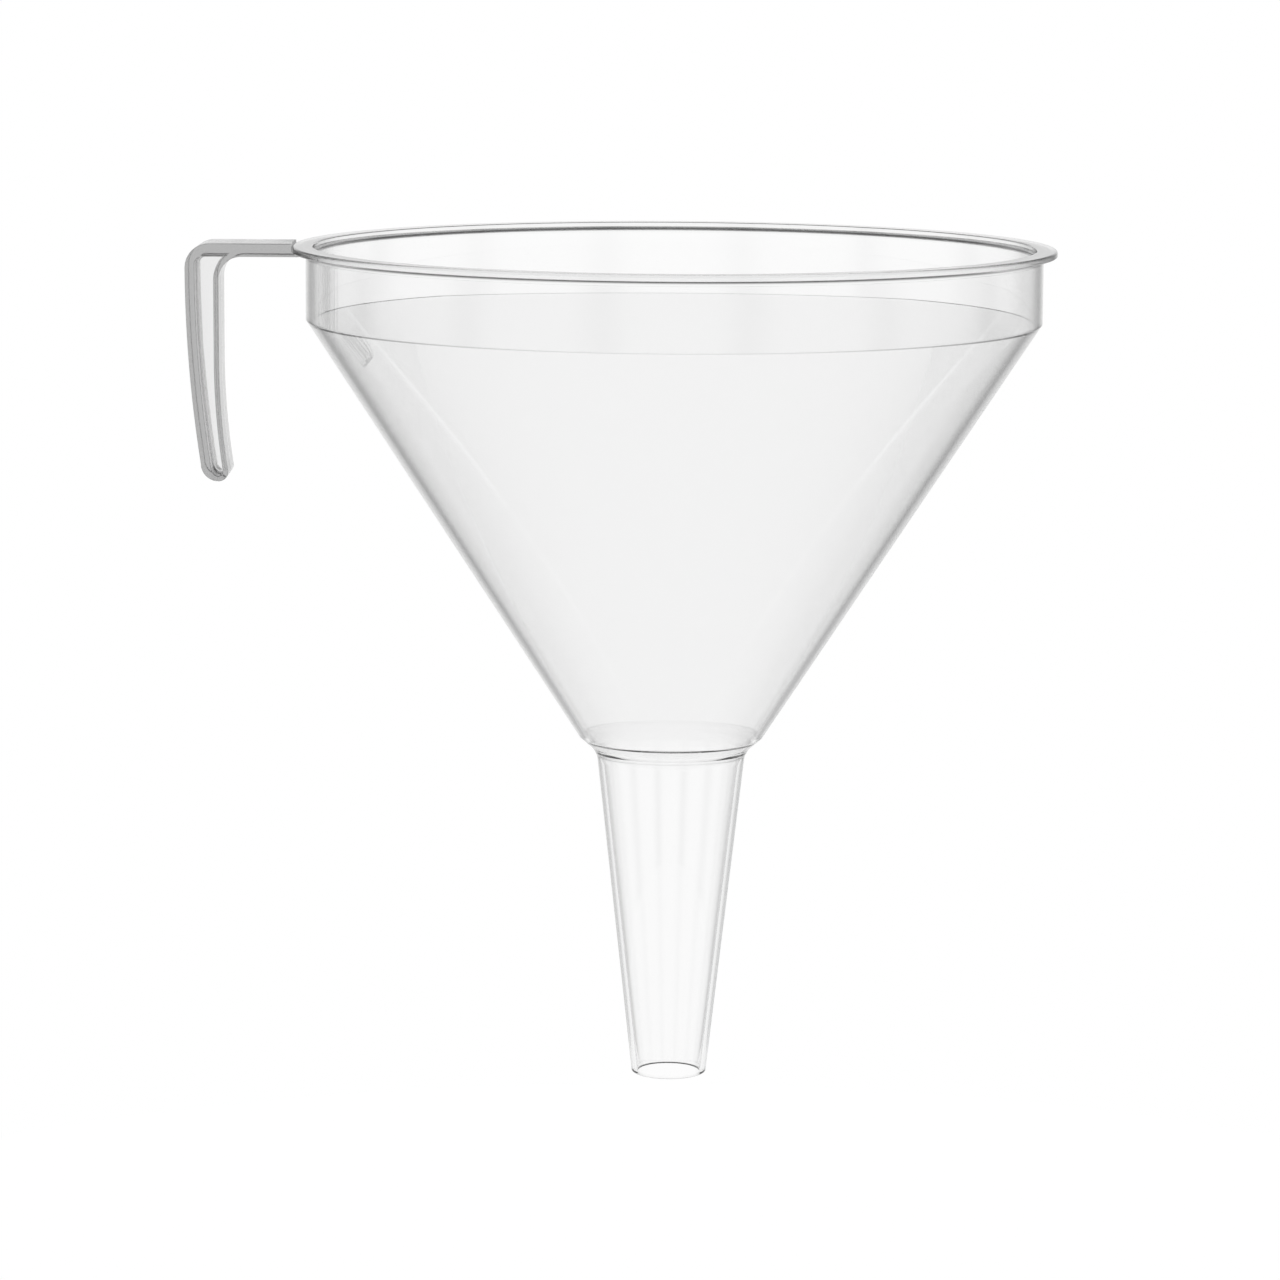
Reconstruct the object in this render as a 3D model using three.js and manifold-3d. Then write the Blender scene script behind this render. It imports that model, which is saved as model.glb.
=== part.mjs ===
// A clear moulded laboratory funnel with a side grip.
// Millimetres, +Z up along the funnel's axis. The origin is the centre of the throat, level with
// the outer corner where the cone turns into the stem, and the grip reaches out along -X.

import * as THREE from 'three';
import { mergeVertices } from 'three/addons/utils/BufferGeometryUtils.js';
import Module from 'manifold-3d';

const wasm = await Module();
wasm.setup();

// ---- Driving dimensions -------------------------------------------------------------------

const GAP = 0.3;                  // clearance kept between neighbouring solids
const CUT_MARGIN = 5;             // how far a cutting solid reaches past what it cuts

const MOUTH_RADIUS = 125;         // outer edge of the rim: a nominal 250 mm funnel
const RIM_TOP = 162.6;            // rim's flat top above the throat
const RIM_THICKNESS = 1.95;       // of the flange at its outer edge
const RIM_FILLET = 2.1;           // under the flange, where it meets the collar
const RIM_TOP_EDGE = 0.9;         // radius of the rim's upper outer edge
const RIM_LOWER_EDGE = 0.3;       // and of its lower one

const COLLAR_RADIUS = 120.5;      // outside of the straight collar under the rim
const COLLAR_WALL = 2.4;
const SHOULDER_HEIGHT = 138.7;    // where the collar turns into the cone
const INNER_SHOULDER = 138.5;     // the same corner on the inside
const SHOULDER_SEAM = 140.7;      // where the collar and cone solids meet, above both corners
const SHOULDER_ROUND = 0.4;

const THROAT_RADIUS = 28.3;       // inside, where the cone ends at the ledge
const THROAT_WALL = 2.3;          // measured level, at the throat
const THROAT_SEAM = 1.2;          // where the cone and throat solids meet, above the ledge
const THROAT_DROP = 8;            // height over which the throat narrows to the stem
const THROAT_FOOT_Z = -5.0;       // outside, where that slope turns into the stem
const THROAT_FOOT_RADIUS = 24.74;
const LEDGE_WIDTH = 1.3;          // the narrow ledge inside, where the cone meets the throat
const LEDGE_Z = 0.45;             // its upper, outer edge
const LEDGE_DROP = 0.6;
const BORE_TOP_Z = -4.7;          // upper end of the stem's tapered bore
const BORE_TOP_RADIUS = 22.8;

const OUTLET_RADIUS = 12.4;       // outside, at the lower end
const OUTLET_WALL = 1.9;
const OUTLET_Z = -114.4;
const OUTLET_ROUND = 0.6;
const TIP_LENGTH = 6;             // the rounded end of the stem

const HANDLE_WIDTH = 21.6;        // along Y
const ARM_TOP = 163.2;
const ARM_THICKNESS = 4.3;
const ARM_START = -141;           // where the level arm turns into the grip's corner
const GRIP_OUTER_X = -159.4;
const GRIP_INNER_X = -148.4;
const GRIP_CORNER = 8;            // radius of the grip's outer top corner
const GRIP_HOLLOW = 7.4;          // radius of its inner top corner
const GRIP_OUTER_SWEEP = 430;     // radius of the gentle curve down its outer side
const GRIP_INNER_SWEEP = 245;     // and down its inner side
const GRIP_INNER_BEND = 125;      // height where the inner side starts to curve
const TIP_X = -148.9;             // the grip's lowest point
const TIP_Z = 85.4;
const OUTER_BEND_Z = 91.1;        // where the outer side starts to bend round to it
const INNER_BEND_Z = 88.45;
const TIP_LEAN = 8.5;             // degrees by which both sides lean where they meet the bends
const TIP_SKIN = 1.7;             // plastic below the recess
const OUTER_FLANGE = 3.2;
const INNER_FLANGE = 1.7;
const WEB_THICKNESS = 5;
const RECESS_CORNER = 2.6;

const ROUND_SEGMENTS = 96;
const ARC_STEPS = 5;
const SWEEP_STEPS = 5;

// ---- Helpers ------------------------------------------------------------------------------

function clearPlastic(color, roughness) {
  return new THREE.MeshStandardMaterial({ color, roughness, metalness: 0 });
}

function namedMesh(name, geometry, material) {
  const mesh = new THREE.Mesh(geometry, material);
  mesh.name = name;
  return mesh;
}

// Points on an arc in a (radius, height) or (x, z) plane, both ends included, angles in degrees.
function arc(centreA, centreB, radius, fromDeg, toDeg, steps = ARC_STEPS) {
  const points = [];
  for (let i = 0; i <= steps; i += 1) {
    const angle = THREE.MathUtils.degToRad(fromDeg + ((toDeg - fromDeg) * i) / steps);
    const a = centreA + radius * Math.cos(angle);
    const b = centreB + radius * Math.sin(angle);
    points.push(new THREE.Vector2(a, b));
  }
  return points;
}

function at(a, b) {
  return new THREE.Vector2(a, b);
}

// A ring turned about the Z axis from a section that runs counterclockwise in (radius, height).
function turned(section) {
  const geometry = new THREE.LatheGeometry([...section, section[0]], ROUND_SEGMENTS);
  geometry.rotateX(Math.PI / 2);
  return geometry;
}

// A prism of an (x, z) outline, centred on the XZ plane and as wide as stated along Y.
function slab(shape, width) {
  const geometry = new THREE.ExtrudeGeometry(shape, { depth: width, bevelEnabled: false });
  geometry.translate(0, 0, -width / 2);
  geometry.rotateX(Math.PI / 2);
  return geometry;
}

function toManifold(geometry) {
  const bare = geometry.clone();
  bare.deleteAttribute('normal');
  bare.deleteAttribute('uv');
  const merged = mergeVertices(bare, 1e-4);
  const vertProperties = new Float32Array(merged.attributes.position.array);
  const triVerts = new Uint32Array(merged.index.array);
  return new wasm.Manifold(new wasm.Mesh({ numProp: 3, vertProperties, triVerts }));
}

function toGeometry(manifold) {
  const { vertProperties, triVerts } = manifold.getMesh();
  const geometry = new THREE.BufferGeometry();
  geometry.setAttribute('position', new THREE.BufferAttribute(vertProperties, 3));
  geometry.setIndex(new THREE.BufferAttribute(triVerts, 1));
  geometry.computeVertexNormals();
  return geometry;
}

// ---- The funnel's walls, as radii at a height ---------------------------------------------

const COLLAR_INNER = COLLAR_RADIUS - COLLAR_WALL;
const RIM_UNDERSIDE = RIM_TOP - RIM_THICKNESS;
const COLLAR_TOP = RIM_UNDERSIDE - RIM_FILLET;
const CONE_OUTER_FOOT = THROAT_RADIUS + THROAT_WALL;
const STEM_START = -THROAT_DROP;
const TIP_START = OUTLET_Z + TIP_LENGTH;

function coneOuter(z) {
  return THREE.MathUtils.mapLinear(z, 0, SHOULDER_HEIGHT, CONE_OUTER_FOOT, COLLAR_RADIUS);
}

function coneInner(z) {
  return THREE.MathUtils.mapLinear(z, LEDGE_Z, INNER_SHOULDER, THROAT_RADIUS, COLLAR_INNER);
}

function stemOuter(z) {
  return THREE.MathUtils.mapLinear(z, THROAT_FOOT_Z, OUTLET_Z, THROAT_FOOT_RADIUS, OUTLET_RADIUS);
}

function stemInner(z) {
  const outletInner = OUTLET_RADIUS - OUTLET_WALL;
  return THREE.MathUtils.mapLinear(z, BORE_TOP_Z, OUTLET_Z, BORE_TOP_RADIUS, outletInner);
}

// ---- Sub-parts of the funnel --------------------------------------------------------------

// The flat flange round the mouth: a rounded upper edge, a crisper lower one, and a fillet down to
// the collar.
function rimSection() {
  const upper = RIM_TOP_EDGE;
  const lower = RIM_LOWER_EDGE;
  return [
    at(COLLAR_INNER, COLLAR_TOP),
    at(COLLAR_RADIUS, COLLAR_TOP),
    ...arc(COLLAR_RADIUS + RIM_FILLET, COLLAR_TOP, RIM_FILLET, 180, 90, 3).slice(1),
    ...arc(MOUTH_RADIUS - lower, RIM_UNDERSIDE + lower, lower, -90, 0, 2),
    ...arc(MOUTH_RADIUS - upper, RIM_TOP - upper, upper, 0, 90, 4),
    at(COLLAR_INNER, RIM_TOP),
  ];
}

// The straight wall under the rim, down to just above the corner where the cone starts.
function collarSection() {
  const top = COLLAR_TOP - GAP;
  return [
    at(COLLAR_INNER, SHOULDER_SEAM),
    at(COLLAR_RADIUS, SHOULDER_SEAM),
    at(COLLAR_RADIUS, top),
    at(COLLAR_INNER, top),
  ];
}

// The cone and the corner at its top, with a short piece of the straight wall above the corner.
function coneSection() {
  const foot = THROAT_SEAM + GAP;
  const top = SHOULDER_SEAM - GAP;
  const belowCorner = SHOULDER_HEIGHT - SHOULDER_ROUND;
  return [
    at(coneInner(foot), foot),
    at(coneOuter(foot), foot),
    at(coneOuter(belowCorner), belowCorner),
    at(COLLAR_RADIUS, SHOULDER_HEIGHT + SHOULDER_ROUND),
    at(COLLAR_RADIUS, top),
    at(COLLAR_INNER, top),
    at(COLLAR_INNER, INNER_SHOULDER),
  ];
}

// The throat: a short slope outside that blends into the stem, and inside it a narrow ledge above
// a steeper slope down to the bore.
function throatSection() {
  const foot = STEM_START + GAP;
  const bend = new THREE.QuadraticBezierCurve(
    at(stemOuter(foot), foot),
    at(THROAT_FOOT_RADIUS, THROAT_FOOT_Z),
    at(CONE_OUTER_FOOT, 0),
  );
  return [
    at(stemInner(foot), foot),
    ...bend.getPoints(ARC_STEPS),
    at(coneOuter(THROAT_SEAM), THROAT_SEAM),
    at(coneInner(THROAT_SEAM), THROAT_SEAM),
    at(THROAT_RADIUS, LEDGE_Z),
    at(THROAT_RADIUS - LEDGE_WIDTH, LEDGE_Z - LEDGE_DROP),
    at(BORE_TOP_RADIUS, BORE_TOP_Z),
  ];
}

function stemSection() {
  const foot = TIP_START + GAP;
  return [
    at(stemInner(foot), foot),
    at(stemOuter(foot), foot),
    at(stemOuter(STEM_START), STEM_START),
    at(stemInner(STEM_START), STEM_START),
  ];
}

// The lowest few millimetres of the stem, with its end rounded on the outside.
function outletSection() {
  const round = OUTLET_ROUND;
  return [
    at(stemInner(OUTLET_Z), OUTLET_Z),
    ...arc(OUTLET_RADIUS - round, OUTLET_Z + round, round, -90, -7, 4),
    at(stemOuter(TIP_START), TIP_START),
    at(stemInner(TIP_START), TIP_START),
  ];
}

// ---- The side handle ----------------------------------------------------------------------

const ARM_UNDERSIDE = ARM_TOP - ARM_THICKNESS;
const CORNER_FOOT = ARM_TOP - GRIP_CORNER;

function gripOuterX(z) {
  const drop = Math.max(0, CORNER_FOOT - z);
  return GRIP_OUTER_X + (drop * drop) / (2 * GRIP_OUTER_SWEEP);
}

function gripInnerX(z) {
  const drop = Math.max(0, GRIP_INNER_BEND - z);
  return GRIP_INNER_X + (drop * drop) / (2 * GRIP_INNER_SWEEP);
}

// Points down one side of the grip from one height to another, moved sideways by an inset.
function sidePoints(sideX, inset, fromZ, toZ) {
  const points = [];
  for (let i = 0; i <= SWEEP_STEPS; i += 1) {
    const z = THREE.MathUtils.lerp(fromZ, toZ, i / SWEEP_STEPS);
    points.push(at(sideX(z) + inset, z));
  }
  return points;
}

// Part of an ellipse about the tip's lowest point, between two angles.
function quarterBend(centreZ, reach, lowestZ, fromDeg, toDeg) {
  const drop = centreZ - lowestZ;
  return arc(0, 0, 1, fromDeg, toDeg).map((p) => at(TIP_X + p.x * reach, centreZ + p.y * drop));
}

// The lower tip: a wide bend from the outer side, then a tighter one up to the inner side.
function tipPoints(outerInset, innerInset, bottomInset) {
  const lowest = TIP_Z + bottomInset;
  const outerReach = TIP_X - gripOuterX(OUTER_BEND_Z) - outerInset;
  const innerReach = gripInnerX(INNER_BEND_Z) - innerInset - TIP_X;
  const wide = quarterBend(OUTER_BEND_Z, outerReach, lowest, 180 + TIP_LEAN, 270);
  const tight = quarterBend(INNER_BEND_Z, innerReach, lowest, 270, 360 + TIP_LEAN);
  return [...wide, ...tight.slice(1)];
}

// The grip seen from the side: corner, outer side, tip, inner side and the hollow under the arm.
function gripOutline() {
  const hollowX = GRIP_INNER_X + GRIP_HOLLOW;
  const hollowZ = ARM_UNDERSIDE - GRIP_HOLLOW;
  return [
    at(ARM_START, ARM_TOP),
    ...arc(GRIP_OUTER_X + GRIP_CORNER, CORNER_FOOT, GRIP_CORNER, 90, 180, 8),
    ...sidePoints(gripOuterX, 0, CORNER_FOOT, OUTER_BEND_Z).slice(1),
    ...tipPoints(0, 0, 0),
    ...sidePoints(gripInnerX, 0, INNER_BEND_Z + 1, GRIP_INNER_BEND),
    ...arc(hollowX, hollowZ, GRIP_HOLLOW, 180, 90, 6),
  ];
}

// The recess between the flanges; inset shrinks it all round.
function recessOutline(inset) {
  const outer = OUTER_FLANGE + inset;
  const inner = INNER_FLANGE + inset;
  const hollowX = GRIP_INNER_X + GRIP_HOLLOW;
  const hollowZ = ARM_UNDERSIDE - GRIP_HOLLOW;
  const hollow = GRIP_HOLLOW + inner;
  const top = ARM_UNDERSIDE - inset;
  const left = GRIP_OUTER_X + outer;
  const meetDeg = THREE.MathUtils.radToDeg(Math.asin((top - hollowZ) / hollow));
  return [
    ...arc(left + RECESS_CORNER, top - RECESS_CORNER, RECESS_CORNER, 90, 180, 4),
    ...sidePoints(gripOuterX, outer, CORNER_FOOT, OUTER_BEND_Z),
    ...tipPoints(outer, inner, TIP_SKIN + inset),
    ...sidePoints(gripInnerX, -inner, INNER_BEND_Z + 1, GRIP_INNER_BEND),
    ...arc(hollowX, hollowZ, hollow, 180, 180 - meetDeg, 5),
  ];
}

// Both flanges, the corner and the tip, as one bent strip round the web.
function gripGeometry() {
  const outline = new THREE.Shape(gripOutline());
  outline.holes.push(new THREE.Path(recessOutline(0)));
  return slab(outline, HANDLE_WIDTH);
}

function webGeometry() {
  return slab(new THREE.Shape(recessOutline(GAP)), WEB_THICKNESS);
}

// The level arm, notched to fit over the rim's outer edge and against the collar under it.
function armGeometry() {
  const barEnd = -COLLAR_INNER;
  const below = ARM_UNDERSIDE - CUT_MARGIN;
  const above = ARM_TOP + CUT_MARGIN;
  const bar = new THREE.Shape([
    at(ARM_START + GAP, ARM_UNDERSIDE),
    at(barEnd, ARM_UNDERSIDE),
    at(barEnd, ARM_TOP),
    at(ARM_START + GAP, ARM_TOP),
  ]);
  const notch = turned([
    at(COLLAR_INNER - CUT_MARGIN, below),
    at(COLLAR_RADIUS + GAP, below),
    at(COLLAR_RADIUS + GAP, COLLAR_TOP - GAP),
    at(COLLAR_RADIUS + RIM_FILLET + GAP, RIM_UNDERSIDE - GAP),
    at(MOUTH_RADIUS + GAP, RIM_UNDERSIDE - GAP),
    at(MOUTH_RADIUS + GAP, above),
    at(COLLAR_INNER - CUT_MARGIN, above),
  ]);
  return toGeometry(toManifold(slab(bar, HANDLE_WIDTH)).subtract(toManifold(notch)));
}

// ---- Assembly -----------------------------------------------------------------------------

const bodyClear = () => clearPlastic(0xeef0f0, 0.06);
const gripClear = () => clearPlastic(0xd9dbdb, 0.12);

const group = new THREE.Group();
group.add(
  namedMesh('rim_flange', turned(rimSection()), bodyClear()),
  namedMesh('collar_wall', turned(collarSection()), bodyClear()),
  namedMesh('cone_wall', turned(coneSection()), bodyClear()),
  namedMesh('throat_ring', turned(throatSection()), bodyClear()),
  namedMesh('stem_tube', turned(stemSection()), bodyClear()),
  namedMesh('outlet_tip', turned(outletSection()), bodyClear()),
  namedMesh('handle_arm', armGeometry(), gripClear()),
  namedMesh('handle_grip', gripGeometry(), gripClear()),
  namedMesh('handle_web', webGeometry(), gripClear()),
);

export default group;
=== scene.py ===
"""A clear moulded laboratory funnel with a side grip, above a plain white floor in soft white light."""

import math

import bmesh
import bpy
from mathutils import Matrix, Vector
from mathutils.geometry import tessellate_polygon


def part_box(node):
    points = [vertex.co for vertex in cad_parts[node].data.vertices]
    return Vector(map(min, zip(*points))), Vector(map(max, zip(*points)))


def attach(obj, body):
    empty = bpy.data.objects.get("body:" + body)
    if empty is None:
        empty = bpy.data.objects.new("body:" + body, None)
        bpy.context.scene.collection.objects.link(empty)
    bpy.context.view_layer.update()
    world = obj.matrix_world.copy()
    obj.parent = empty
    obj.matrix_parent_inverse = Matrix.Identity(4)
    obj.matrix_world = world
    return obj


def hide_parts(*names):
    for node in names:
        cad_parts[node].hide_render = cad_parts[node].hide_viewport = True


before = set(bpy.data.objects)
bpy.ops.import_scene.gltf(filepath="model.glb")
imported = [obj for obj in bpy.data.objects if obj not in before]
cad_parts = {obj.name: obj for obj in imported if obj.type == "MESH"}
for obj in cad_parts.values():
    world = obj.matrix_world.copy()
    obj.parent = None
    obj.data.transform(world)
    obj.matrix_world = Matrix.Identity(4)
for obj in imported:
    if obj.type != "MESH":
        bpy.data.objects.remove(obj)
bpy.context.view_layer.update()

MM = 0.001

# ---- Sizes taken from the CAD nodes, in metres ---------------------------------------------

rim_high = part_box("rim_flange")[1]
collar_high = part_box("collar_wall")[1]
outlet_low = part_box("outlet_tip")[0]
arm_low, arm_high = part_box("handle_arm")
grip_low, grip_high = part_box("handle_grip")
web_low, web_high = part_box("handle_web")

MOUTH_RADIUS = rim_high[0]
RIM_TOP = rim_high[2]
COLLAR_RADIUS = collar_high[0]
OUTLET_Z = outlet_low[2]
HANDLE_WIDTH = grip_high[1] - grip_low[1]
ARM_TOP = arm_high[2]
ARM_UNDERSIDE = arm_low[2]
GRIP_OUTER_X = grip_low[0]
WEB_THICKNESS = web_high[1] - web_low[1]

# ---- Sizes of details that the CAD boxes don't give ----------------------------------------

RIM_THICKNESS = 1.95 * MM
RIM_FILLET = 2.1 * MM           # under the flange, where it meets the collar
RIM_TOP_EDGE = 0.9 * MM
RIM_LOWER_EDGE = 0.3 * MM
COLLAR_WALL = 2.4 * MM
SHOULDER_Z = 138.7 * MM         # where the collar turns into the cone, outside
INNER_SHOULDER_Z = 138.5 * MM
THROAT_OUTER = 30.6 * MM        # outside corner between cone and throat
THROAT_CORNER_Z = 0.1 * MM
THROAT_WALL = 2.3 * MM
THROAT_FOOT_Z = -5.0 * MM       # outside, where the throat's slope turns into the stem
THROAT_FOOT_RADIUS = 24.74 * MM
LEDGE_WIDTH = 1.3 * MM          # the narrow ledge where the cone meets the throat
LEDGE_Z = 0.45 * MM             # its upper, outer edge
LEDGE_DROP = 0.6 * MM
BORE_TOP_Z = -4.7 * MM          # upper end of the stem's tapered bore
BORE_TOP_RADIUS = 22.8 * MM
OUTLET_RADIUS = 12.4 * MM
OUTLET_WALL = 1.9 * MM

OUTLET_ROUND = 0.6 * MM         # corner radii of the wall's section
THROAT_FOOT_ROUND = 8.0 * MM
THROAT_ROUND = 0.8 * MM
SHOULDER_ROUND = 0.4 * MM
MOUTH_ROUND = 0.5 * MM
LEDGE_ROUND = 0.2 * MM
SMALL_ROUND = 0.3 * MM
BORE_TOP_ROUND = 1.5 * MM

GRIP_INNER_X = -148.4 * MM
GRIP_CORNER = 8 * MM
GRIP_HOLLOW = 7.4 * MM
GRIP_OUTER_SWEEP = 430 * MM
GRIP_INNER_SWEEP = 245 * MM
GRIP_INNER_BEND = 125 * MM
TIP_X = -148.9 * MM             # the grip's lowest point
TIP_Z = 85.4 * MM
OUTER_BEND_Z = 91.1 * MM        # where the outer side starts to bend round to it
INNER_BEND_Z = 88.45 * MM
BEND_OVERLAP = 1.0 * MM         # kept free above the inner bend, whose end rises past its centre
TIP_LEAN = 8.5                  # degrees by which both sides lean where they meet the bends
TIP_SKIN = 1.7 * MM             # plastic below the recess
OUTER_FLANGE = 3.2 * MM
INNER_FLANGE = 1.7 * MM
RECESS_CORNER = 2.6 * MM
EDGE_ROUND = 0.25 * MM
WEB_FILLET = 0.6 * MM
RIM_CLEARANCE = 0.05 * MM       # between the arm's end and the rim it butts against

TURN_SEGMENTS = 288
WALL_STEP = 5 * MM


# ---- Mesh helpers ---------------------------------------------------------------------------


def arc(centre, radius, from_deg, to_deg, steps):
    """Points on an arc in a plane, both ends included."""
    points = []
    for i in range(steps + 1):
        angle = math.radians(from_deg + (to_deg - from_deg) * i / steps)
        offset = Vector((math.cos(angle), math.sin(angle))) * radius
        points.append(Vector(centre) + offset)
    return points


def rounded(corners, steps=6):
    """A closed outline whose corners, given as (a, b, radius), are replaced by arcs."""
    points = []
    count = len(corners)
    for i, (a, b, radius) in enumerate(corners):
        here = Vector((a, b))
        before = (Vector(corners[i - 1][:2]) - here).normalized()
        after = (Vector(corners[(i + 1) % count][:2]) - here).normalized()
        half = before.angle(after) / 2
        reach = radius / math.tan(half)
        middle = here + (before + after).normalized() * (radius / math.sin(half))
        start = here + before * reach - middle
        sweep = start.angle_signed(here + after * reach - middle)
        for j in range(steps + 1):
            turn = Matrix.Rotation(-sweep * j / steps, 2)
            points.append(middle + turn @ start)
    return points


def subdivided(points, step):
    """The same closed outline with its long straight runs cut into pieces of about one step."""
    finer = []
    for i, point in enumerate(points):
        following = points[(i + 1) % len(points)]
        pieces = max(1, math.ceil((following - point).length / step))
        finer += [point.lerp(following, j / pieces) for j in range(pieces)]
    return finer


def object_from(name, bm):
    """Finishes a bmesh as a smooth object whose flat faces keep flat shading."""
    bmesh.ops.recalc_face_normals(bm, faces=bm.faces)
    mesh = bpy.data.meshes.new(name)
    bm.to_mesh(mesh)
    bm.free()
    for polygon in mesh.polygons:
        polygon.use_smooth = True
    piece = bpy.data.objects.new(name, mesh)
    bpy.context.scene.collection.objects.link(piece)
    weighted = piece.modifiers.new("flat_faces_stay_flat", "WEIGHTED_NORMAL")
    weighted.weight = 80
    return piece


def bridge(bm, first, second):
    """Quads between two closed loops of vertices with the same count."""
    count = len(first)
    for i in range(count):
        j = (i + 1) % count
        bm.faces.new((first[i], first[j], second[j], second[i]))


# ---- The funnel's body ------------------------------------------------------------------------


def body_outline():
    """The wall's section in (radius, height): up the outside, over the rim and down the inside."""
    rim_underside = RIM_TOP - RIM_THICKNESS
    collar_inner = COLLAR_RADIUS - COLLAR_WALL
    throat_inner = THROAT_OUTER - THROAT_WALL
    return rounded([
        (OUTLET_RADIUS, OUTLET_Z, OUTLET_ROUND),
        (THROAT_FOOT_RADIUS, THROAT_FOOT_Z, THROAT_FOOT_ROUND),
        (THROAT_OUTER, THROAT_CORNER_Z, THROAT_ROUND),
        (COLLAR_RADIUS, SHOULDER_Z, SHOULDER_ROUND),
        (COLLAR_RADIUS, rim_underside, RIM_FILLET),
        (MOUTH_RADIUS, rim_underside, RIM_LOWER_EDGE),
        (MOUTH_RADIUS, RIM_TOP, RIM_TOP_EDGE),
        (collar_inner, RIM_TOP, MOUTH_ROUND),
        (collar_inner, INNER_SHOULDER_Z, SHOULDER_ROUND),
        (throat_inner, LEDGE_Z, LEDGE_ROUND),
        (throat_inner - LEDGE_WIDTH, LEDGE_Z - LEDGE_DROP, SMALL_ROUND),
        (BORE_TOP_RADIUS, BORE_TOP_Z, BORE_TOP_ROUND),
        (OUTLET_RADIUS - OUTLET_WALL, OUTLET_Z, SMALL_ROUND),
    ])


def build_body():
    """The outline turned once round the Z axis, as one closed shell."""
    outline = subdivided(body_outline(), WALL_STEP)
    bm = bmesh.new()
    rings = []
    for i in range(TURN_SEGMENTS):
        angle = 2 * math.pi * i / TURN_SEGMENTS
        across = Vector((math.cos(angle), math.sin(angle), 0))
        rings.append([bm.verts.new(across * r + Vector((0, 0, z))) for r, z in outline])
    for i in range(TURN_SEGMENTS):
        bridge(bm, rings[i], rings[(i + 1) % TURN_SEGMENTS])
    return object_from("funnel_body", bm)


# ---- The handle -------------------------------------------------------------------------------


def grip_outer_x(z):
    drop = max(0.0, ARM_TOP - GRIP_CORNER - z)
    return GRIP_OUTER_X + drop * drop / (2 * GRIP_OUTER_SWEEP)


def grip_inner_x(z):
    drop = max(0.0, GRIP_INNER_BEND - z)
    return GRIP_INNER_X + drop * drop / (2 * GRIP_INNER_SWEEP)


def side_points(side_x, inset, from_z, to_z, steps=12):
    """Points along one side of the grip between two heights, moved sideways by an inset."""
    heights = [from_z + (to_z - from_z) * i / steps for i in range(steps + 1)]
    return [Vector((side_x(z) + inset, z)) for z in heights]


def quarter_bend(centre_z, reach, lowest_z, from_deg, to_deg):
    """Part of an ellipse about the tip's lowest point, between two angles."""
    drop = centre_z - lowest_z
    circle = arc((0, 0), 1, from_deg, to_deg, 12)
    return [Vector((TIP_X + p.x * reach, centre_z + p.y * drop)) for p in circle]


def tip_points(outer_inset, inner_inset, bottom_inset):
    """The lower tip: a wide bend from the outer side, then a tighter one up to the inner side."""
    lowest = TIP_Z + bottom_inset
    outer_reach = TIP_X - grip_outer_x(OUTER_BEND_Z) - outer_inset
    inner_reach = grip_inner_x(INNER_BEND_Z) - inner_inset - TIP_X
    wide = quarter_bend(OUTER_BEND_Z, outer_reach, lowest, 180 + TIP_LEAN, 270)
    tight = quarter_bend(INNER_BEND_Z, inner_reach, lowest, 270, 360 + TIP_LEAN)
    return wide + tight[1:]


def handle_outline(inset):
    """Arm and grip seen from the side, shrunk by an inset everywhere but at the arm's end."""
    hollow = (GRIP_INNER_X + GRIP_HOLLOW, ARM_UNDERSIDE - GRIP_HOLLOW)
    corner = (GRIP_OUTER_X + GRIP_CORNER, ARM_TOP - GRIP_CORNER)
    flange_underside = RIM_TOP - RIM_THICKNESS - RIM_CLEARANCE
    rim_x = -MOUTH_RADIUS - RIM_CLEARANCE
    collar_x = -COLLAR_RADIUS - RIM_FILLET - RIM_CLEARANCE
    arm_xs = [rim_x + (corner[0] - rim_x) * i / 4 for i in range(4)]
    return [
        *[Vector((x, ARM_TOP - inset)) for x in arm_xs],
        *arc(corner, GRIP_CORNER - inset, 90, 180, 14),
        *side_points(grip_outer_x, inset, corner[1], OUTER_BEND_Z)[1:],
        *tip_points(inset, inset, inset),
        *side_points(grip_inner_x, -inset, INNER_BEND_Z + BEND_OVERLAP, GRIP_INNER_BEND),
        *arc(hollow, GRIP_HOLLOW + inset, 180, 90, 12),
        Vector((collar_x, ARM_UNDERSIDE + inset)),
        Vector((collar_x, flange_underside)),
        Vector((rim_x, flange_underside)),
    ]


def recess_outline(inset):
    """The hollow between the grip's two flanges, shrunk by an inset."""
    outer = OUTER_FLANGE + inset
    inner = INNER_FLANGE + inset
    hollow = Vector((GRIP_INNER_X + GRIP_HOLLOW, ARM_UNDERSIDE - GRIP_HOLLOW))
    top = ARM_UNDERSIDE - inset
    left = GRIP_OUTER_X + outer
    turn = math.degrees(math.asin((top - hollow.y) / (GRIP_HOLLOW + inner)))
    return [
        *arc((left + RECESS_CORNER, top - RECESS_CORNER), RECESS_CORNER, 90, 180, 8),
        *side_points(grip_outer_x, outer, ARM_TOP - GRIP_CORNER, OUTER_BEND_Z),
        *tip_points(outer, inner, TIP_SKIN + inset),
        *side_points(grip_inner_x, -inner, INNER_BEND_Z + BEND_OVERLAP, GRIP_INNER_BEND),
        *arc(hollow, GRIP_HOLLOW + inner, 180, 180 - turn, 10),
    ]


def edge_levels(outer_y, inner_y, radius, steps=4):
    """(y, inset) pairs round one edge, from a face at outer_y inwards to a wall that ends at inner_y."""
    levels = []
    for i in range(steps + 1):
        angle = math.pi / 2 * i / steps
        levels.append((outer_y + radius * (1 - math.cos(angle)), radius * (1 - math.sin(angle))))
    levels.append((inner_y, 0.0))
    return levels


def loop_at(bm, outline, y):
    return [bm.verts.new((x, y, z)) for x, z in outline]


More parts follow.
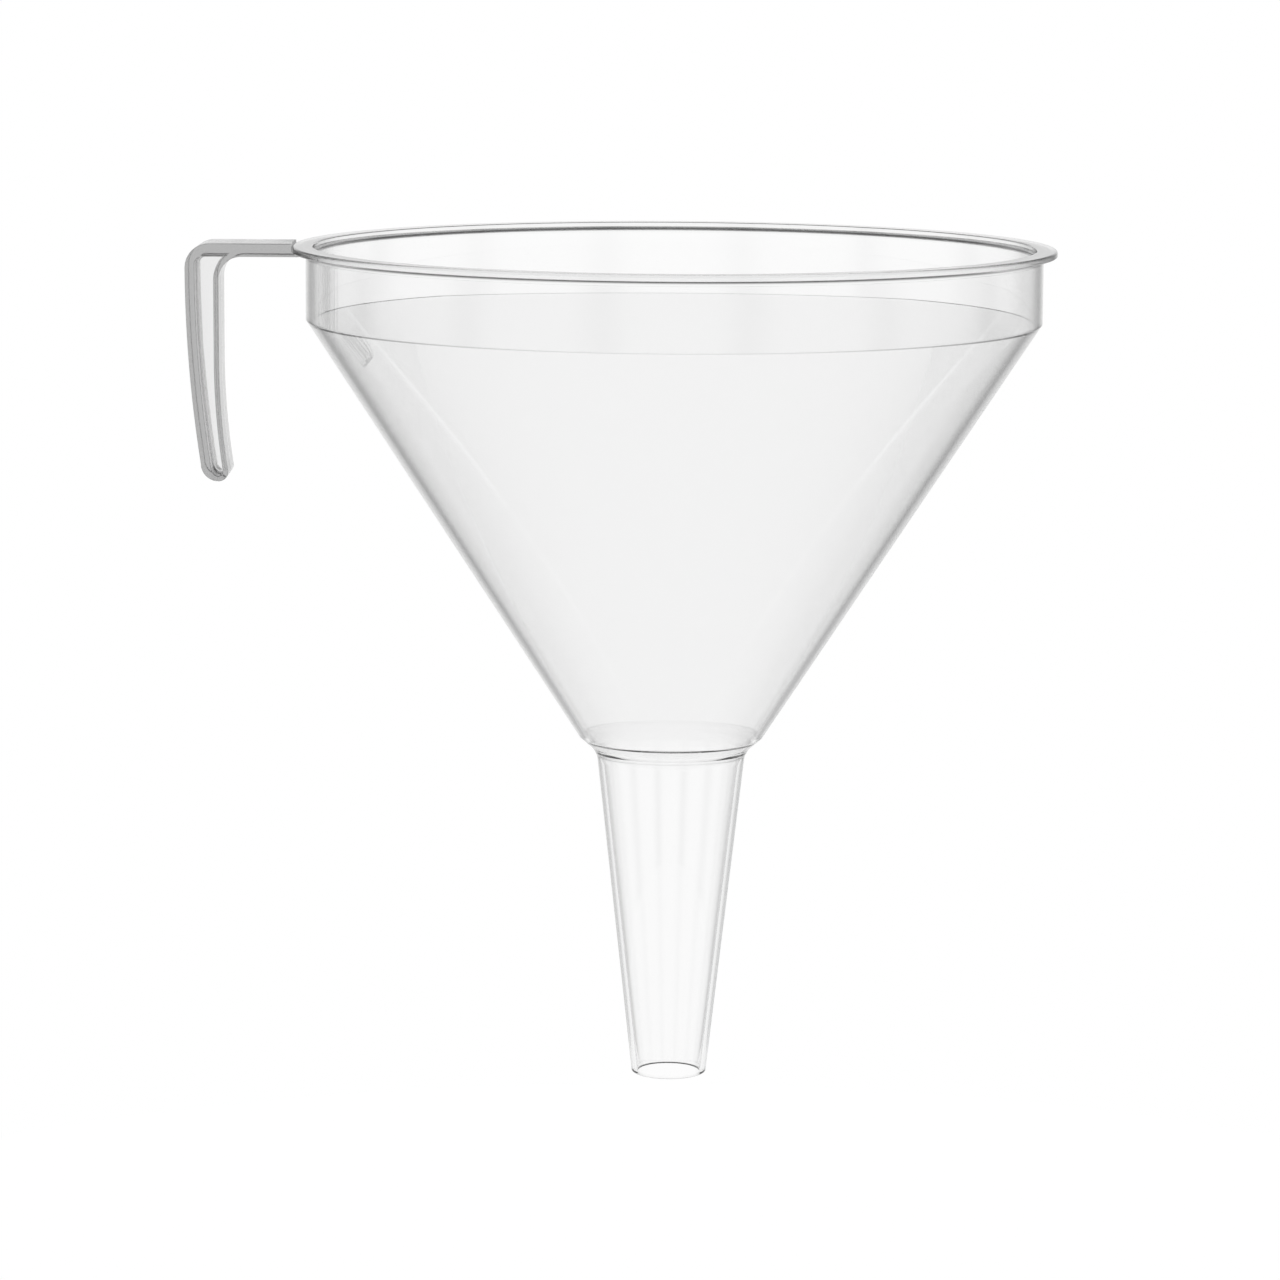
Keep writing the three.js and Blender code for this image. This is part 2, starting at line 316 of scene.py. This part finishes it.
def fill(bm, outer, hole=()):
    """Flat triangles inside a closed loop, outside an optional hole."""
    loops = [[v.co for v in outer]]
    if hole:
        loops.append([v.co for v in hole])
    verts = list(outer) + list(hole)
    for triangle in tessellate_polygon(loops):
        bm.faces.new([verts[i] for i in triangle])


def fit_to_rim(bm):
    """Curves the arm's end so that it follows the round rim and collar."""
    for vert in bm.verts:
        if vert.co.x > -MOUTH_RADIUS - MM:
            radius = -vert.co.x
            vert.co.x = -math.sqrt(radius * radius - vert.co.y * vert.co.y)


def build_handle():
    """An arm and an I-section grip: two flanges, a thin web and rounded edges, as one closed shell."""
    half = HANDLE_WIDTH / 2
    web = WEB_THICKNESS / 2
    bm = bmesh.new()
    front_side = edge_levels(-half, -half * 0.6, EDGE_ROUND)
    wall = [(-half * 0.3, 0.0), (0.0, 0.0), (half * 0.3, 0.0)]
    back_side = [(-y, inset) for y, inset in reversed(front_side)]
    outside = [loop_at(bm, handle_outline(inset), y) for y, inset in front_side + wall + back_side]
    for first, second in zip(outside, outside[1:]):
        bridge(bm, first, second)
    for side, outer_loop in ((-1, outside[0]), (1, outside[-1])):
        mouth = [(y, -inset) for y, inset in edge_levels(-half, -web - WEB_FILLET * 2, EDGE_ROUND)]
        floor = edge_levels(0.0, WEB_FILLET, WEB_FILLET)[:-1]
        foot = [(-web - depth, inset) for depth, inset in reversed(floor)]
        levels = mouth + foot
        inside = [loop_at(bm, recess_outline(inset), -side * y) for y, inset in levels]
        for first, second in zip(inside, inside[1:]):
            bridge(bm, first, second)
        fill(bm, outer_loop, inside[0])
        fill(bm, inside[-1])
    fit_to_rim(bm)
    return object_from("side_handle", bm)


# ---- Materials --------------------------------------------------------------------------------


PLASTIC_IOR = 1.49
FACING_MIRROR = 0.04            # share of light this plastic mirrors head on
GRAZING_MIRROR = 0.95           # and where its edges count as fully turned away
PAINTED_EDGE_SHADE = 0.05                # painted shade: colour left at edges where the surface turns away, standing in for shade
EDGE_SHADE_ONSET = 1.25               # higher keeps the painted shade closer to the very edge
HAZE_SCALE = 140.0
FLOW_SCALE = 60.0
FLOW_HEIGHT = 0.2 * MM


def new_node(tree, kind, **settings):
    node = tree.nodes.new(kind)
    for name, value in settings.items():
        setattr(node, name, value)
    return node


def noise(tree, coordinates, scale, detail=3.0):
    node = new_node(tree, "ShaderNodeTexNoise")
    node.inputs["Scale"].default_value = scale
    node.inputs["Detail"].default_value = detail
    tree.links.new(coordinates, node.inputs["Vector"])
    return node.outputs["Fac"]


def calculate(tree, operation, *values):
    """A Math node; each value is a socket or a number."""
    node = new_node(tree, "ShaderNodeMath", operation=operation)
    for slot, value in zip(node.inputs, values):
        if isinstance(value, (int, float)):
            slot.default_value = value
        else:
            tree.links.new(value, slot)
    return node.outputs["Value"]


def ranged(tree, value, low, high):
    """The value, from 0 to 1, mapped to a range."""
    node = new_node(tree, "ShaderNodeMapRange")
    node.inputs["To Min"].default_value = low
    node.inputs["To Max"].default_value = high
    tree.links.new(value, node.inputs["Value"])
    return node.outputs["Result"]


def painted_edge_shade(tree, shader):
    """Paints shade into the plastic's base colour where a surface turns away and starts to mirror,
    darkening its edges as shade would.
    """
    glancing = new_node(tree, "ShaderNodeFresnel")
    glancing.inputs["IOR"].default_value = PLASTIC_IOR
    share = new_node(tree, "ShaderNodeMapRange")
    share.inputs["From Min"].default_value = FACING_MIRROR
    share.inputs["From Max"].default_value = GRAZING_MIRROR
    tree.links.new(glancing.outputs["Fac"], share.inputs["Value"])
    late = calculate(tree, "POWER", share.outputs["Result"], EDGE_SHADE_ONSET)
    tree.links.new(ranged(tree, late, 1.0, PAINTED_EDGE_SHADE), shader.inputs["Base Color"])


def clear_plastic(name, roughness, absorption, flow_depth, stretch):
    """Polished clear plastic: faint flow marks in the surface, a little haze, grey in its depth, and
    painted shade along its edges.
    """
    material = bpy.data.materials.new(name)
    material.use_nodes = True
    tree = material.node_tree
    shader = tree.nodes["Principled BSDF"]
    shader.inputs["IOR"].default_value = PLASTIC_IOR
    shader.inputs["Transmission Weight"].default_value = 1.0
    # painted shade: the base colour darkens towards grazing edges
    painted_edge_shade(tree, shader)
    place = new_node(tree, "ShaderNodeTexCoord").outputs["Object"]
    haze = noise(tree, place, HAZE_SCALE)
    tree.links.new(ranged(tree, haze, *roughness), shader.inputs["Roughness"])
    flow = new_node(tree, "ShaderNodeMapping")
    flow.inputs["Scale"].default_value = stretch
    tree.links.new(place, flow.inputs["Vector"])
    bump = new_node(tree, "ShaderNodeBump")
    bump.inputs["Strength"].default_value = flow_depth
    bump.inputs["Distance"].default_value = FLOW_HEIGHT
    tree.links.new(noise(tree, flow.outputs["Vector"], FLOW_SCALE), bump.inputs["Height"])
    tree.links.new(bump.outputs["Normal"], shader.inputs["Normal"])
    depth = new_node(tree, "ShaderNodeVolumeAbsorption")
    depth.inputs["Color"].default_value = (0.5, 0.5, 0.5, 1.0)
    depth.inputs["Density"].default_value = absorption
    output = tree.nodes["Material Output"]
    tree.links.new(depth.outputs["Volume"], output.inputs["Volume"])
    return material


def white_floor():
    material = bpy.data.materials.new("white_floor")
    material.use_nodes = True
    shader = material.node_tree.nodes["Principled BSDF"]
    shader.inputs["Base Color"].default_value = (0.3, 0.3, 0.3, 1.0)
    shader.inputs["Roughness"].default_value = 0.9
    shader.inputs["Emission Color"].default_value = (1.0, 1.0, 1.0, 1.0)
    shader.inputs["Emission Strength"].default_value = 0.95
    return material


# ---- Studio -----------------------------------------------------------------------------------


FLOOR_RADIUS = 0.45
FLOOR_DROP = 0.12               # from the outlet down to the floor


def build_floor():
    """A plain round white floor, well below the outlet because the funnel is held up."""
    bpy.ops.mesh.primitive_circle_add(
        vertices=96, radius=FLOOR_RADIUS, fill_type="NGON", location=(0, 0, OUTLET_Z - FLOOR_DROP)
    )
    floor = bpy.context.object
    floor.name = "studio_floor"
    floor.data.materials.append(white_floor())


PANELS = 8                      # tall soft panels standing in a ring, one every 45 degrees
PANEL_LIGHT = 1.0
GAP_LIGHT = 0.55                # what shows in the middle of the gap between two panels
TOP_LIGHT = 0.08                # the dim room above the panels
PANEL_TOP = 0.1                 # sine of the elevation where the panels start to fade
ROOM_START = 0.45               # and of where only the dim room is left
GAP_SHARPNESS = 4               # higher keeps the dim gaps narrower
LIGHT_BOUNCES = 24


def build_studio_light():
    """A ring of tall soft panels under a dim room; the view itself has a plain white backdrop."""
    world = bpy.data.worlds.new("ring_of_panels")
    bpy.context.scene.world = world
    world.use_nodes = True
    tree = world.node_tree
    direction = new_node(tree, "ShaderNodeTexCoord").outputs["Generated"]
    split = new_node(tree, "ShaderNodeSeparateXYZ")
    tree.links.new(direction, split.inputs["Vector"])
    azimuth = calculate(tree, "ARCTAN2", split.outputs["X"], split.outputs["Y"])
    wave = calculate(tree, "COSINE", calculate(tree, "MULTIPLY", azimuth, PANELS))
    between = calculate(tree, "MULTIPLY_ADD", wave, -0.5, 0.5)
    ring = ranged(tree, calculate(tree, "POWER", between, GAP_SHARPNESS), PANEL_LIGHT, GAP_LIGHT)
    height = new_node(tree, "ShaderNodeMapRange", interpolation_type="SMOOTHSTEP")
    height.inputs["From Min"].default_value = PANEL_TOP
    height.inputs["From Max"].default_value = ROOM_START
    tree.links.new(split.outputs["Z"], height.inputs["Value"])
    mixed = new_node(tree, "ShaderNodeMix", data_type="FLOAT")
    tree.links.new(height.outputs["Result"], mixed.inputs["Factor"])
    tree.links.new(ring, mixed.inputs["A"])
    mixed.inputs["B"].default_value = TOP_LIGHT
    seen = new_node(tree, "ShaderNodeLightPath").outputs["Is Camera Ray"]
    strength = calculate(tree, "MAXIMUM", mixed.outputs["Result"], seen)
    background = tree.nodes["Background"]
    background.inputs["Color"].default_value = (1.0, 1.0, 1.0, 1.0)
    tree.links.new(strength, background.inputs["Strength"])
    bpy.context.scene.view_settings.view_transform = "Standard"
    bpy.context.scene.cycles.max_bounces = LIGHT_BOUNCES
    bpy.context.scene.cycles.transmission_bounces = LIGHT_BOUNCES
    bpy.context.scene.cycles.glossy_bounces = LIGHT_BOUNCES


CAMERA_PLACE = (-0.0105, -1.5255, 0.2712)
CAMERA_PITCH = 8.911            # degrees below level
CAMERA_ROLL = 0.364
CAMERA_LENS = 131.0


def build_camera():
    data = bpy.data.cameras.new("camera")
    data.sensor_width = 36.0
    data.lens = CAMERA_LENS
    camera = bpy.data.objects.new("camera", data)
    bpy.context.scene.collection.objects.link(camera)
    pitch = Matrix.Rotation(math.radians(90 - CAMERA_PITCH), 4, "X")
    roll = Matrix.Rotation(math.radians(CAMERA_ROLL), 4, "Z")
    place = Matrix.Translation(CAMERA_PLACE)
    camera.matrix_world = place @ pitch @ roll
    bpy.context.scene.camera = camera


# ---- Assembly ---------------------------------------------------------------------------------

build_camera()

body = build_body()
body.data.materials.append(clear_plastic("clear_wall", (0.0, 0.02), 22.0, 0.03, (1, 1, 0.15)))
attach(body, "root")
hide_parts("rim_flange", "collar_wall", "cone_wall", "throat_ring", "stem_tube", "outlet_tip")

handle = build_handle()
handle.data.materials.append(clear_plastic("clear_grip", (0.08, 0.14), 74.0, 0.008, (1, 1, 0.3)))
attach(handle, "root")
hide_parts("handle_arm", "handle_grip", "handle_web")

build_floor()
build_studio_light()
